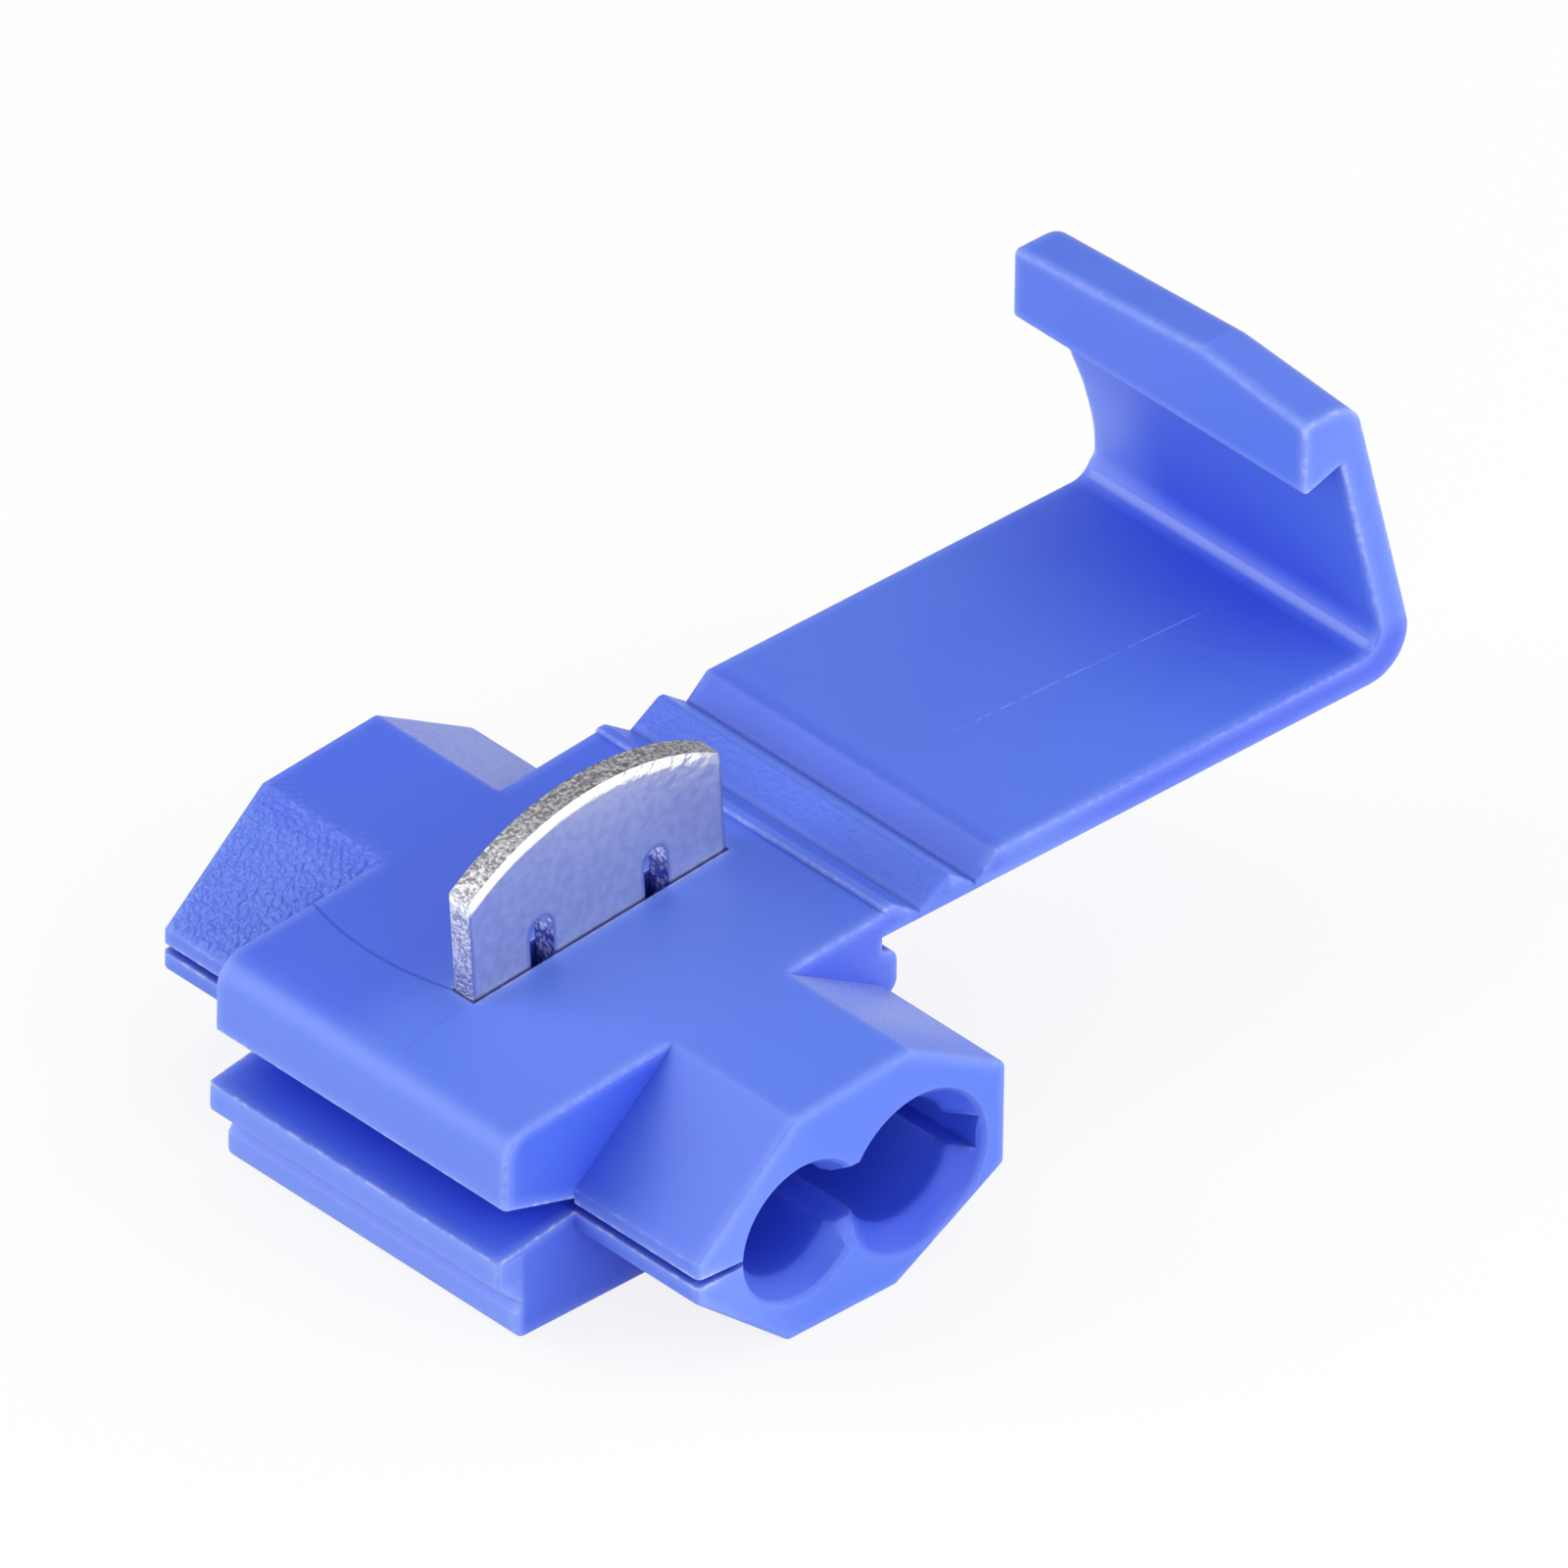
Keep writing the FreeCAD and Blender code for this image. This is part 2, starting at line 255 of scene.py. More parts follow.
def paper_material():
    """White paper that looks white to the camera and still holds a shadow."""
    material, tree, shader = new_material("white_paper")
    shader.inputs["Base Color"].default_value = (PAPER_WHITE, PAPER_WHITE, PAPER_WHITE, 1.0)
    shader.inputs["Roughness"].default_value = 0.9
    shader.inputs["Specular IOR Level"].default_value = 0.0
    seen = node(tree, "LightPath").outputs
    share = product(tree, largest(tree, seen["Is Camera Ray"], seen["Is Glossy Ray"]), PAPER_GLOW)
    glow = node(tree, "Emission", Color=(1.0, 1.0, 1.0, 1.0), Strength=1.0)
    mix = node(tree, "MixShader", Fac=share)
    put(mix.inputs[1], shader.outputs["BSDF"])
    put(mix.inputs[2], glow.outputs["Emission"])
    put(tree.nodes["Material Output"].inputs["Surface"], mix.outputs["Shader"])
    return material


def paper_floor(half_size):
    """A flat square of paper under the splice."""
    mesh = bpy.data.meshes.new("floor")
    mesh.from_pydata([(-half_size, -half_size, 0), (half_size, -half_size, 0),
                      (half_size, half_size, 0), (-half_size, half_size, 0)], [], [(0, 1, 2, 3)])
    floor = bpy.data.objects.new("floor", mesh)
    scene.collection.objects.link(floor)
    mesh.materials.append(paper_material())
    return floor


floor = paper_floor(1.5)
print("floor", round(floor.dimensions.x, 2), "m wide")

# %% [markdown]
# ## Lamps
# The splice lies in a light tent, so the light comes from soft boxes all round it. Each box is given by its
# compass angle and its height angle in degrees, and its power in watts. The low boxes behind the tunnel make
# the ends and edges light while the recesses on the near side stay deep, and the high boxes only touch up
# the flat faces. Their power is low, so that a colour comes out about as it is written.

# %% Hang the lamps
BOX_SIDE = 0.2
BOX_DISTANCE = 0.25
TENT_LIGHT = 0.06
soft_boxes = [
    ("right_low", 0, 20, 0.35),
    ("right_back_low", 45, 20, 0.184),
    ("back_low", 90, 20, 0.24),
    ("left_front_low", 225, 20, 0.50),
    ("front_low", 315, 20, 0.24),
    ("right_back_high", 45, 60, 0.152),
    ("left_back_high", 137, 60, 0.112),
    ("left_front_high", 225, 60, 0.15),
]


def soft_box(name, compass, height, watts):
    """A square lamp that faces the splice."""
    lamp_data = bpy.data.lights.new(name, "AREA")
    lamp_data.shape = "SQUARE"
    lamp_data.size = BOX_SIDE
    lamp_data.energy = watts
    lamp = bpy.data.objects.new(name, lamp_data)
    scene.collection.objects.link(lamp)
    turn, rise = math.radians(compass), math.radians(height)
    away = Vector((math.cos(turn) * math.cos(rise), math.sin(turn) * math.cos(rise), math.sin(rise)))
    lamp.location = look_at + away * BOX_DISTANCE
    lamp.rotation_mode = "QUATERNION"
    lamp.rotation_quaternion = away.to_track_quat("Z", "Y")
    return lamp


def tent_world():
    """The tent's cloth: white behind everything, and a weak even light on the part."""
    world = bpy.data.worlds.new("light_tent")
    scene.world = world
    world.use_nodes = True
    tree = world.node_tree
    seen = node(tree, "LightPath").outputs["Is Camera Ray"]
    cloth = tree.nodes["Background"]
    put(cloth.inputs["Color"], (1.0, 1.0, 1.0, 1.0))
    put(cloth.inputs["Strength"], soft_step(tree, seen, 0.0, 1.0, TENT_LIGHT, 1.0))
    return world


lamps = [soft_box(*line) for line in soft_boxes]
tent_world()
print("soft boxes", len(lamps), "with", round(sum(line[3] for line in soft_boxes), 2), "W in all")

# %% [markdown]
# ## Painted light and shade in the plastic
# Nylon lets a little light in. Thin edges glow paler, and deep holes go to a strong dark blue. Subsurface
# scattering would give that too, but slowly, and with noise in the holes, so the glow is painted into the
# colour as painted light on edges, and the dark as painted shade in recesses. Looks at what is near a point
# are enough: one inwards, which finds edges and thin walls, a shorter one inwards for the painted highlight
# on the very edge, and one outwards, which finds recesses. The group also rounds off the normals of sharp
# edges.

# %% Group for edges and recesses
LINE_SHARE = 0.28


def edge_group():
    """Numbers for how near an outer edge is and how open a point is, and a normal for rounded edges."""
    asked = [("Edge Reach", "number"), ("Recess Reach", "number"), ("Round", "number")]
    told = [("Edge", "number"), ("Line", "number"), ("Open", "number"), ("Normal", "vector")]
    tree, given, result = new_group("edges_and_recesses", asked, told)
    inwards = node(tree, "AmbientOcclusion", [("inside", True), ("only_local", True), ("samples", 2)],
                   Distance=given["Edge Reach"])
    closer = node(tree, "AmbientOcclusion", [("inside", True), ("only_local", True), ("samples", 2)],
                  Distance=product(tree, given["Edge Reach"], LINE_SHARE))
    outwards = node(tree, "AmbientOcclusion", [("only_local", True), ("samples", 3)],
                    Distance=given["Recess Reach"])
    rounded = node(tree, "Bevel", [("samples", 3)], Radius=given["Round"])
    put(result["Edge"], maths(tree, "SUBTRACT", 1.0, inwards.outputs["AO"]))
    put(result["Line"], maths(tree, "SUBTRACT", 1.0, closer.outputs["AO"]))
    put(result["Open"], outwards.outputs["AO"])
    put(result["Normal"], rounded.outputs["Normal"])
    return tree


edges = edge_group()
print("group", edges.name)

# %% [markdown]
# ## Places on the moulding
# Most marks begin or end at an edge of the moulding, so the same few places come up again and again. A place
# where a part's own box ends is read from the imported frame, so it follows the part. The others are written
# down once, in millimetres, as the moulding's drawing gives them.

# %% Read the places
def box_in_mm(name):
    """The lowest and the highest corner of a part at rest."""
    low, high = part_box(name)
    return low / MM, high / MM


strap_low, strap_high = box_in_mm("hinge_strap")
blade_low, blade_high = box_in_mm("contact_blade")
WEB_THICKNESS = 0.35
PLATE_THICKNESS = 1.15
TUNNEL_END = box_in_mm("housing")[1].x
BLOCK_END = strap_high.x
FRONT_HINGE = strap_low.y
BACK_HINGE = strap_high.y
WEB_LOW = strap_low.z
WEB_HIGH = WEB_LOW + WEB_THICKNESS
COVER_TOP = WEB_LOW + PLATE_THICKNESS
DECK_LOW = 7.6
HOOK_WALL = 26.5
BLADE_HALF_WIDTH = 5.4
print("tunnel end", round(TUNNEL_END, 2), "hinge lines", round(FRONT_HINGE, 2), round(BACK_HINGE, 2))

# %% [markdown]
# ## Lines of the mould, and painted shade
# A mould leaves its own marks. Where two pieces of the mould meet, a hairline stays: a bowed one round an
# insert on the deck, a faint one beside the blade, and a broken one along the cover. The roots of the two
# hinge grooves and the ramp behind the back one get painted shade, and a painted shadow line is laid round
# the blade's pocket. The lines are far too fine to model, so each is a narrow band about a curve, worked out
# from the point's place. A hairline is given by the X and Y of one point on it, and by how much it bows, or
# leans, as it goes on.

# %% Curves of the hairlines
DECK_LINE = (-3.58, -5.93, 0.044)
FAINT_LINE = (0.55, -5.6, -0.131)
COVER_LINE = (1.04, 15.2, 0.035)


def on_deck(tree, z):
    """One on the upward faces of the deck and of the open cover's plate, nought below and above them."""
    above = soft_step(tree, z, DECK_LOW, DECK_LOW + 0.4)
    return product(tree, above, soft_step(tree, z, COVER_TOP + 0.4, COVER_TOP + 0.1))


def bowed_line(tree, x, y):
    """The line round the insert, which bows away from its lowest point on both sides."""
    low_x, low_y, bow = DECK_LINE
    rise = maths(tree, "MULTIPLY", maths(tree, "POWER", maths(tree, "SUBTRACT", x, low_x), 2.0), bow)
    line = band(tree, maths(tree, "SUBTRACT", y, rise), low_y, 0.03, 0.05)
    before_blade = soft_step(tree, x, blade_low.x, blade_low.x - 0.1)
    on_block = soft_step(tree, x, -BLOCK_END - 0.1, -BLOCK_END)
    return product(tree, line, before_blade, on_block)


def slanting_line(tree, x, y, line, soft):
    """A straight line through a point, which moves across as it runs along Y."""
    start_x, start_y, lean = line
    moved = maths(tree, "MULTIPLY", maths(tree, "SUBTRACT", y, start_y), lean)
    return band(tree, maths(tree, "SUBTRACT", x, moved), start_x, 0.02, soft)


print("hairlines", DECK_LINE, FAINT_LINE, COVER_LINE)

# %% Group for lines
def line_and_shade_group():
    """Dark hairlines with painted shade in the hinge roots and on the ramp, light hairlines, and the painted
    shadow round the blade's pocket, as numbers.
    """
    tree, given, result = new_group("mould_lines_and_shade", [("Place", "vector")],
                                    [("Hairlines And Shade", "number"), ("Light", "number"), ("Pocket Shadow", "number")])
    x, y, z = split(tree, given["Place"])
    top = on_deck(tree, z)
    faint_line = product(tree, slanting_line(tree, x, y, FAINT_LINE, 0.08), soft_step(tree, y, -5.5, -5.7),
                         soft_step(tree, y, -8.7, -8.3), top, 0.2)
    # Painted shade along the roots of both hinge webs, and on the ramp behind the back one.
    at_web = product(tree, soft_step(tree, z, WEB_HIGH + 0.4, WEB_HIGH + 0.1),
                     soft_step(tree, z, WEB_HIGH - 0.15, WEB_HIGH - 0.05))
    front_root = product(tree, band(tree, y, FRONT_HINGE + 0.02, 0.03, 0.09), at_web, 0.7)
    back_root = product(tree, band(tree, y, BACK_HINGE - 0.02, 0.05, 0.09), at_web)
    ramp = product(tree, band(tree, y, BACK_HINGE + 0.58, 0.4, 0.25),
                   soft_step(tree, z, WEB_HIGH + 0.05, WEB_HIGH + 0.15), top, 0.3)
    deck_line = product(tree, bowed_line(tree, x, y), top)
    put(result["Hairlines And Shade"], total(tree, deck_line, faint_line, front_root, back_root, ramp))
    cover_line = product(tree, slanting_line(tree, x, y, COVER_LINE, 0.04), soft_step(tree, y, 14.5, 16.0),
                         soft_step(tree, y, HOOK_WALL, HOOK_WALL - 1.5), top,
                         soft_step(tree, z, COVER_TOP - 0.55, COVER_TOP - 0.25))
    dashes = soft_step(tree, noise(tree, given["Place"], 2.6), 0.34, 0.56)
    put(result["Light"], product(tree, cover_line, dashes))
    # A painted shadow line round the blade's pocket.
    half_thick = (blade_high.x - blade_low.x) / 2
    away_x = maths(tree, "ABSOLUTE", maths(tree, "SUBTRACT", x, (blade_low.x + blade_high.x) / 2))
    away_y = maths(tree, "ABSOLUTE", y)
    rim_x = soft_step(tree, away_x, half_thick + 0.13, half_thick + 0.06)
    rim_y = soft_step(tree, away_y, BLADE_HALF_WIDTH + 0.13, BLADE_HALF_WIDTH + 0.06)
    put(result["Pocket Shadow"], product(tree, rim_x, rim_y, top))
    return tree


mould_lines_and_shade = line_and_shade_group()
print("group", mould_lines_and_shade.name)

# %% [markdown]
# ## Grain, frost with painted sheen, and scuffs
# Spark-worn steel gives the tunnel's left chamfer a fine grain, and the chamfers on the hinge side a dull
# grey frost, which also carries a painted sheen where those chamfers catch the light. The ridge between the
# webs is scuffed. Grain is a height that goes to a bump, since its lumps are only hundredths of a millimetre
# high, and frost is a share of grey; a smaller share of the same grey is a painted highlight along the
# hook's inner corner. Each one is held to its own face by a mask, and the masks are small functions, because
# the painted light and shade below use them too.

# %% Masks for the faces
TOP_EDGE = 2.43
CHANNELS = ((-2.1, 3.95), (2.8, 3.95))


def from_channels(tree, y, z):
    """How far a point is from the nearer channel's axis."""
    distances = []
    for channel_y, channel_z in CHANNELS:
        across = maths(tree, "POWER", maths(tree, "SUBTRACT", y, channel_y), 2.0)
        above = maths(tree, "POWER", maths(tree, "SUBTRACT", z, channel_z), 2.0)
        distances.append(maths(tree, "SQRT", maths(tree, "ADD", across, above)))
    return maths(tree, "MINIMUM", *distances)


def past_block(tree, x, side):
    """One on the tunnel beyond the block, at the end given as 1 or -1, but not on the end face."""
    out = maths(tree, "MULTIPLY", x, side)
    return product(tree, soft_step(tree, out, BLOCK_END - 0.05, BLOCK_END + 0.15),
                   soft_step(tree, out, TUNNEL_END - 0.02, TUNNEL_END - 0.2))


def worn_slope(tree, x, y, z):
    """One on the left chamfer behind the block, fading out on the tunnel's top."""
    slope = product(tree, soft_step(tree, y, -1.0, -3.4), soft_step(tree, z, 4.6, 5.0))
    return product(tree, past_block(tree, x, -1.0), slope)


def near_ridge(tree, y, z):
    """One on the near slope of the ridge between the webs."""
    return product(tree, band(tree, y, FRONT_HINGE + 0.8, 0.5, 0.2),
                   soft_step(tree, z, WEB_HIGH + 0.05, WEB_HIGH + 0.2))


def hook_corner_highlight(tree, x, y, z):
    """One along the inner corner between the cover's plate and its hooked wall, where a painted highlight is
    laid.
    """
    inside_ends = soft_step(tree, maths(tree, "ABSOLUTE", x), BLOCK_END - 0.15, BLOCK_END - 0.45)
    return product(tree, band(tree, z, COVER_TOP + 0.22, 0.05, 0.10), inside_ends,
                   soft_step(tree, y, HOOK_WALL, HOOK_WALL + 1.0), soft_step(tree, y, 28.9, 28.7))


def lumps(tree, place):
    """The grain's own lumps."""
    return soft_step(tree, noise(tree, place, 4.6, 1.0), 0.1, 0.9)


print("channels at", CHANNELS)

# %% Group for grain and frost
def texture_and_sheen_group():
    """The grain's height, the share of frost with its painted sheen and highlight, and the radius of rounded
    edges, over the moulding.
    """
    tree, given, result = new_group("texture_and_sheen", [("Place", "vector")],
                                    [("Grain", "number"), ("Frost And Sheen", "number"), ("Round", "number")])
    place = given["Place"]
    x, y, z = split(tree, place)
    ridge = near_ridge(tree, y, z)
    scuffs = soft_step(tree, noise(tree, place, 2.6, 4.0, (0.6, 1.6, 1.6)), 0.54, 0.66)
    height = total(tree, lumps(tree, place), product(tree, scuffs, ridge, 0.3))
    share = largest(tree, worn_slope(tree, x, y, z), product(tree, ridge, 0.3))
    put(result["Grain"], product(tree, height, share))
    # Frost on the hinge-side chamfers, with a painted sheen in it, and a painted highlight along the hook's
    # inner corner.
    hinge_slope = product(tree, soft_step(tree, y, TOP_EDGE - 0.15, TOP_EDGE + 0.15),
                          soft_step(tree, z, 6.3, 6.6))
    fading = product(tree, past_block(tree, x, 1.0), soft_step(tree, x, 12.0, 9.0, 0.25, 0.9))
    speckle = soft_step(tree, noise(tree, place, 8.0, 1.0), 0.35, 0.65, 0.6, 1.0)
    frost_and_sheen = product(tree, hinge_slope, total(tree, past_block(tree, x, -1.0), fading), speckle)
    put(result["Frost And Sheen"], total(tree, frost_and_sheen, product(tree, hook_corner_highlight(tree, x, y, z), 0.35)))
    funnel = product(tree, soft_step(tree, from_channels(tree, y, z), 2.9, 2.7),
                     band(tree, maths(tree, "ABSOLUTE", x), TUNNEL_END - 1.0, 0.5, 0.2))
    put(result["Round"], soft_step(tree, funnel, 0.0, 1.0, 0.07 * MM, 0.6 * MM))
    return tree


texture_and_sheen = texture_and_sheen_group()
print("group", texture_and_sheen.name)

# %% [markdown]
# ## Painted light and shade on the moulding
# The moulding's blue is given painted shade and painted light by place. Places behind the blade, by the hinge
# and on the cover's long side, and the ramp, the near slope of the ridge, the block's end, the tap funnel and
# the hollows of the worn grain get painted shade. The front of the ledge and foot, the jaw, the far end of
# the hooked wall, the far face of the ridge and the near side of the tunnel's end face get painted light, the
# corner of the hook a painted highlight, and the worn slope is paler from its wear. A lamp can't do this,
# because neighbours that face the same way differ, so each place gets a soft mask with a share of its own,
# and the largest share counts.

# %% Group for painted light and shade
def light_and_shade_group():
    """Where painted shade makes the blue deeper than round about, and where painted light, and on the worn
    slope its wear, make it paler.
    """
    tree, given, result = new_group("painted_light_and_shade", [("Place", "vector")],
                                    [("Painted Shade", "number"), ("Painted Light And Wear", "number")])
    place = given["Place"]
    x, y, z = split(tree, place)
    top = on_deck(tree, z)
    worn = worn_slope(tree, x, y, z)
    behind_blade = product(tree, soft_step(tree, x, 0.4, -2.6), top,
                           soft_step(tree, y, FRONT_HINGE - 0.1, FRONT_HINGE - 1.1))
    by_hinge = product(tree, soft_step(tree, y, 3.0, 6.5), top,
                       soft_step(tree, y, FRONT_HINGE - 0.1, FRONT_HINGE - 0.3))
    ramp = product(tree, band(tree, y, BACK_HINGE + 0.73, 0.5, 0.3),
                   soft_step(tree, z, WEB_HIGH - 0.05, WEB_HIGH + 0.05))
    block_end = product(tree, band(tree, x, BLOCK_END, 0.03, 0.05), soft_step(tree, y, -3.0, -3.4))
    plate_side = product(tree, soft_step(tree, x, BLOCK_END - 0.2, BLOCK_END - 0.05),
                         soft_step(tree, y, 13.0, 18.0), soft_step(tree, z, 10.5, 9.5))
    tap_funnel = product(tree, soft_step(tree, from_channels(tree, y, z), 2.95, 2.8),
                         soft_step(tree, x, TUNNEL_END - 2.0, TUNNEL_END - 1.0),
                         soft_step(tree, y, 0.6, 1.2))
    hollows = product(tree, worn, maths(tree, "SUBTRACT", 1.0, lumps(tree, place)))
    # Painted shade behind the blade, by the hinge, on the ridge, ramp, block end, plate side and tap funnel,
    # and in the worn grain's hollows.
    put(result["Painted Shade"], largest(
        tree, product(tree, behind_blade, 0.35), product(tree, near_ridge(tree, y, z), 0.15),
        product(tree, ramp, 0.2), product(tree, by_hinge, 0.2), product(tree, block_end, 0.25),
        product(tree, hollows, 0.12), product(tree, plate_side, 0.6), product(tree, tap_funnel, 0.5)))
    # Painted light on the wall end, ledge and foot, jaw, far ridge face and tunnel end, a painted highlight
    # in the hook's corner, and the worn slope's wear.
    wall_end = product(tree, soft_step(tree, x, -2.6, -5.8), soft_step(tree, y, HOOK_WALL, HOOK_WALL + 1.0),
                       soft_step(tree, z, 9.3, 10.2))
    ledge_and_foot = product(tree, soft_step(tree, y, -8.6, -8.95), soft_step(tree, z, 3.3, 3.15),
                             soft_step(tree, z, 2.4, 2.2, 0.75, 1.05))
    jaw = product(tree, soft_step(tree, y, -8.8, -9.4), band(tree, z, 6.3, 1.2, 0.5))
    far_ridge = product(tree, band(tree, y, FRONT_HINGE + 1.65, 0.2, 0.2),
                        soft_step(tree, z, WEB_HIGH + 0.2, WEB_HIGH + 0.4))
    end_face = product(tree, soft_step(tree, x, TUNNEL_END - 0.15, TUNNEL_END - 0.05),
                       soft_step(tree, y, -1.0, -5.0))
    put(result["Painted Light And Wear"], largest(
        tree, wall_end, product(tree, hook_corner_highlight(tree, x, y, z), 0.8), ledge_and_foot,
        product(tree, jaw, 0.4), product(tree, far_ridge, 0.8), product(tree, end_face, 0.5),
        product(tree, worn, 0.17)))
    return tree


painted_light_and_shade = light_and_shade_group()
print("group", painted_light_and_shade.name)

# %% [markdown]
# ## Thin walls and the painted highlight on the lip
# Looking inwards finds edges, but it also finds the thin hinge webs and the walls round the channels, which
# would take the painted edge glow all over. They are held back here. The edges of the hook's lip get a
# stronger painted highlight than the rest.

# %% Group for thin walls
def wall_group():
    """How far a point may take the painted edge glow, and how strong the painted highlight on its edge line
    is.
    """
    tree, given, result = new_group("thin_walls", [("Place", "vector")],
                                    [("Solid", "number"), ("Highlight Gain", "number")])
    x, y, z = split(tree, given["Place"])
    from_axis = from_channels(tree, y, z)
    end = maths(tree, "ABSOLUTE", x)
    hinge = product(tree, band(tree, y, FRONT_HINGE + 1.25, 1.4, 0.3),
                    soft_step(tree, z, WEB_LOW - 0.3, WEB_LOW - 0.1), 0.85)
    mouth = product(tree, soft_step(tree, from_axis, 3.7, 3.1),
                    soft_step(tree, end, TUNNEL_END - 2.5, TUNNEL_END - 1.7), 0.65)
    channel = product(tree, soft_step(tree, from_axis, 2.75, 2.5), 0.85)
    put(result["Solid"], maths(tree, "SUBTRACT", 1.0, largest(tree, hinge, mouth, channel)))
    # A stronger painted highlight on the edges of the hook's lip.
    lip = product(tree, soft_step(tree, y, 20.0, 21.0), soft_step(tree, z, 13.0, 13.5))
    put(result["Highlight Gain"], total(tree, 1.0, product(tree, lip, 2.2)))
    return tree


thin_walls = wall_group()
print("group", thin_walls.name)

# %% [markdown]
# ## Blue plastic
# The plastic is satin, with a weak sheen. Its colour starts as a mix of a shaded and an open blue, by how
# open the point is, which paints shade into recesses, with faint clouds in it. Then each mark is laid over
# the last: painted shade and painted light by place, frost with its painted sheen, the painted glow of
# edges, the broken painted highlight on the very edge, the light hairline, the dark hairlines with painted
# shade in the hinge roots, and the painted shadow round the blade's pocket.

# %% Mix the blue plastic
# The blue of recesses and painted shade, the open blue, the blue of painted light and of the light hairline,
# the painted highlight, frost with painted sheen, and the navy of dark hairlines and painted shade.
RECESS_SHADE_BLUE = (0.020, 0.053, 0.63, 1.0)
OPEN_BLUE = (0.084, 0.163, 0.675, 1.0)
LIGHT_AND_HAIRLINE_BLUE = (0.34, 0.47, 0.92, 1.0)
HIGHLIGHT_BLUE = (0.78, 0.85, 0.99, 1.0)
FROST_AND_SHEEN_GREY = (0.42, 0.46, 0.66, 1.0)
LINE_AND_SHADE_NAVY = (0.016, 0.036, 0.38, 1.0)


def blue_plastic():
    """Satin translucent moulding plastic."""
    material, tree, shader = new_material("blue_plastic")
    place = place_in_mm(tree)
    lines = use_group(tree, mould_lines_and_shade, Place=place)
    texture = use_group(tree, texture_and_sheen, Place=place)
    painted_tones = use_group(tree, painted_light_and_shade, Place=place)
    walls = use_group(tree, thin_walls, Place=place)
    look = use_group(tree, edges, Edge_Reach=0.5 * MM, Recess_Reach=8.0 * MM, Round=texture["Round"])
    # The painted glow of edges, held back on thin walls.
    edge = product(tree, look["Edge"], walls["Solid"])
    clouds = noise(tree, place, 0.35, 3.0)
    # Painted shade in recesses, by how open the point is, with faint clouds of tone in it.
    shade = total(tree, soft_step(tree, look["Open"], 0.15, 0.9),
                  product(tree, maths(tree, "SUBTRACT", clouds, 0.5), 0.25))
    # The painted highlight on the very edge, broken by noise.
    broken = soft_step(tree, noise(tree, place, 3.0, 3.0), 0.45, 0.62, 0.25, 1.0)
    edge_highlight = product(tree, look["Line"], walls["Solid"], broken, walls["Highlight Gain"])
    colour = blend_colour(tree, shade, RECESS_SHADE_BLUE, OPEN_BLUE)
    # In turn: painted shade, frost with painted sheen, painted light and wear, painted edge glow, painted
    # edge highlight, the light hairline, dark hairlines with painted shade, and the pocket's painted shadow.
    layers = (
        (painted_tones["Painted Shade"], RECESS_SHADE_BLUE),
        (product(tree, texture["Frost And Sheen"], 0.5), FROST_AND_SHEEN_GREY),
        (product(tree, painted_tones["Painted Light And Wear"], 0.28), LIGHT_AND_HAIRLINE_BLUE),
        (product(tree, edge, 0.55), LIGHT_AND_HAIRLINE_BLUE),
        (edge_highlight, HIGHLIGHT_BLUE),
        (product(tree, lines["Light"], 0.28), LIGHT_AND_HAIRLINE_BLUE),
        (product(tree, lines["Hairlines And Shade"], 0.55), LINE_AND_SHADE_NAVY),
        (product(tree, lines["Pocket Shadow"], 0.85), LINE_AND_SHADE_NAVY),
    )
    for share, tint in layers:
        colour = blend_colour(tree, share, colour, tint)
    put(shader.inputs["Base Color"], colour)
    grain = node(tree, "Bump", Strength=1.0, Distance=0.11 * MM, Height=texture["Grain"],
                 Normal=look["Normal"])
    put(shader.inputs["Normal"], grain.outputs["Normal"])
    shader.inputs["Roughness"].default_value = 0.46
    shader.inputs["Specular IOR Level"].default_value = 0.35
    return material


plastic = blue_plastic()
print("material", plastic.name)

# %% [markdown]
# ## Stamped blade
# The blade is stamped from tinned sheet. The punch rolls the upper edge of the front face over, which
# catches the light as a bright band, dents it at one end, and tears the cut edges, which stay rough. The
# blade's outline is in the solid already. What the punch did to its surface is worked out from the place
# along the deck and above it, and from the way that a face looks.

# %% Group for the stamped sheet
DECK_TILT = math.radians(4.6)
DECK_HEIGHT = 8.62
DOME_RADIUS = 9.81
DOME_DROP = 4.34


